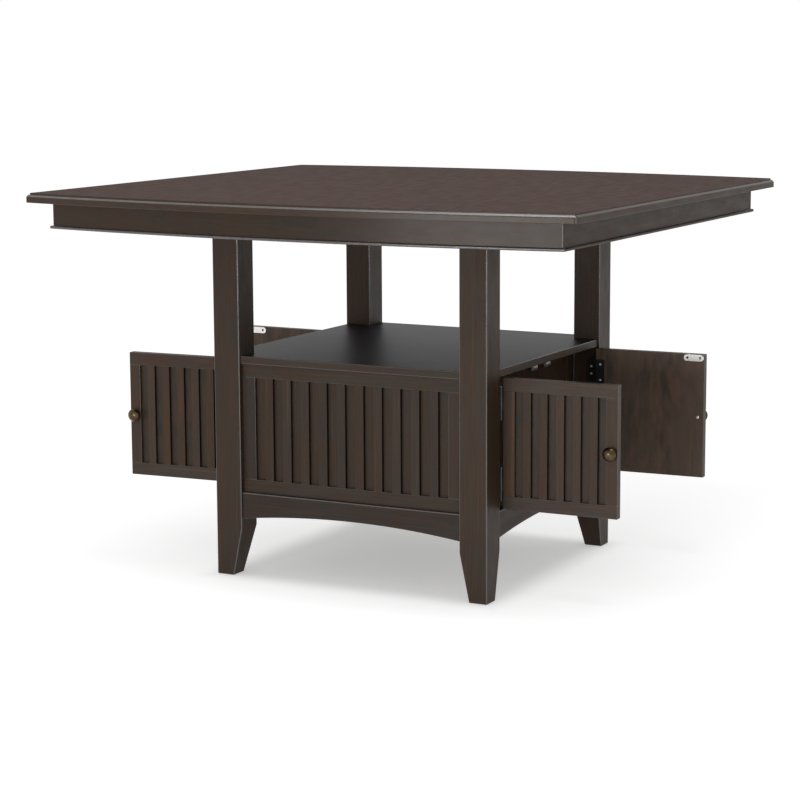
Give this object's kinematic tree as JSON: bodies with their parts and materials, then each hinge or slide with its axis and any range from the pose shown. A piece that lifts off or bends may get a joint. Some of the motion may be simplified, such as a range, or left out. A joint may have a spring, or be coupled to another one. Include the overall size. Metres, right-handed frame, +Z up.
{
  "type": "kitchen table with storage cabinet",
  "caption": "Counter-height square table on four legs, with an open shelf and a low slatted cabinet between the legs; hinged doors on two sides give access from both.",
  "frame": {"origin": "on the floor under the middle of the tabletop", "axes": "+Z up; -Y towards the front with its fixed slatted panel; +X towards the right side with its pair of doors"},
  "size_m": [1.3716, 1.3716, 0.9144],
  "materials": {
    "stained_wood": "dark espresso stain, satin lacquer",
    "plain_wood": "bare hardwood",
    "knob_brass": "antique, polished",
    "nickel_plate": "nickel plated",
    "hinge_black": "black, semi-gloss",
    "hinge_steel": "blackened steel",
    "catch_plastic": "off-white, matt",
    "glide_plastic": "dark brown, matt"
  },
  "bodies": {
    "root": {"tabletop": "stained_wood", "apron_front": "stained_wood", "frame_rail_front": "stained_wood", "arch_rail_front": "stained_wood", "apron_back": "stained_wood", "frame_rail_back": "stained_wood", "arch_rail_back": "stained_wood", "apron_left": "stained_wood", "frame_rail_left": "stained_wood", "arch_rail_left": "stained_wood", "apron_right": "stained_wood", "frame_rail_right": "stained_wood", "arch_rail_right": "stained_wood", "panel_board_front": "stained_wood", "panel_frame_front": "stained_wood", "panel_slats_front": "stained_wood", "panel_board_back": "stained_wood", "panel_frame_back": "stained_wood", "panel_slats_back": "stained_wood", "leg_left_front": "stained_wood", "leg_left_back": "stained_wood", "leg_right_front": "stained_wood", "leg_right_back": "stained_wood", "cabinet_top": "stained_wood", "cabinet_floor": "stained_wood", "floor_cleats": "plain_wood", "frame_corner_blocks": "plain_wood", "apron_glue_blocks": "plain_wood", "leg_glides": "glide_plastic", "hinge_leg_leaves": "hinge_black", "hinge_pins": "hinge_steel", "magnetic_catches": "catch_plastic", "catch_poles": "nickel_plate"},
    "door_right_front": {"door_board_right_front": "stained_wood", "door_frame_right_front": "stained_wood", "door_slats_right_front": "stained_wood", "door_knob_right_front": "knob_brass", "strike_plate_right_front": "nickel_plate", "hinge_door_leaves_right_front": "hinge_black"},
    "door_right_back": {"door_board_right_back": "stained_wood", "door_frame_right_back": "stained_wood", "door_slats_right_back": "stained_wood", "door_knob_right_back": "knob_brass", "strike_plate_right_back": "nickel_plate", "hinge_door_leaves_right_back": "hinge_black"},
    "door_left_front": {"door_board_left_front": "stained_wood", "door_frame_left_front": "stained_wood", "door_slats_left_front": "stained_wood", "door_knob_left_front": "knob_brass", "strike_plate_left_front": "nickel_plate", "hinge_door_leaves_left_front": "hinge_black"},
    "door_left_back": {"door_board_left_back": "stained_wood", "door_frame_left_back": "stained_wood", "door_slats_left_back": "stained_wood", "door_knob_left_back": "knob_brass", "strike_plate_left_back": "nickel_plate", "hinge_door_leaves_left_back": "hinge_black"}
  },
  "joints": [
    {"name": "door_right_front_hinge", "type": "hinge", "parent": "root", "child": "door_right_front", "pos_m": [0.3571, -0.2832, 0.3588], "axis": [0, 0, -1], "range_deg": [-89.1, 85.9]},
    {"name": "door_right_back_hinge", "type": "hinge", "parent": "root", "child": "door_right_back", "pos_m": [0.3571, 0.2832, 0.3588], "axis": [0, 0, 1], "range_deg": [-92.4, 82.6]},
    {"name": "door_left_front_hinge", "type": "hinge", "parent": "root", "child": "door_left_front", "pos_m": [-0.3571, -0.2832, 0.3588], "axis": [0, 0, 1], "range_deg": [-93.4, 81.6]},
    {"name": "door_left_back_hinge", "type": "hinge", "parent": "root", "child": "door_left_back", "pos_m": [-0.3571, 0.2832, 0.3588], "axis": [0, 0, -1], "range_deg": [-91, 84]}
  ]
}
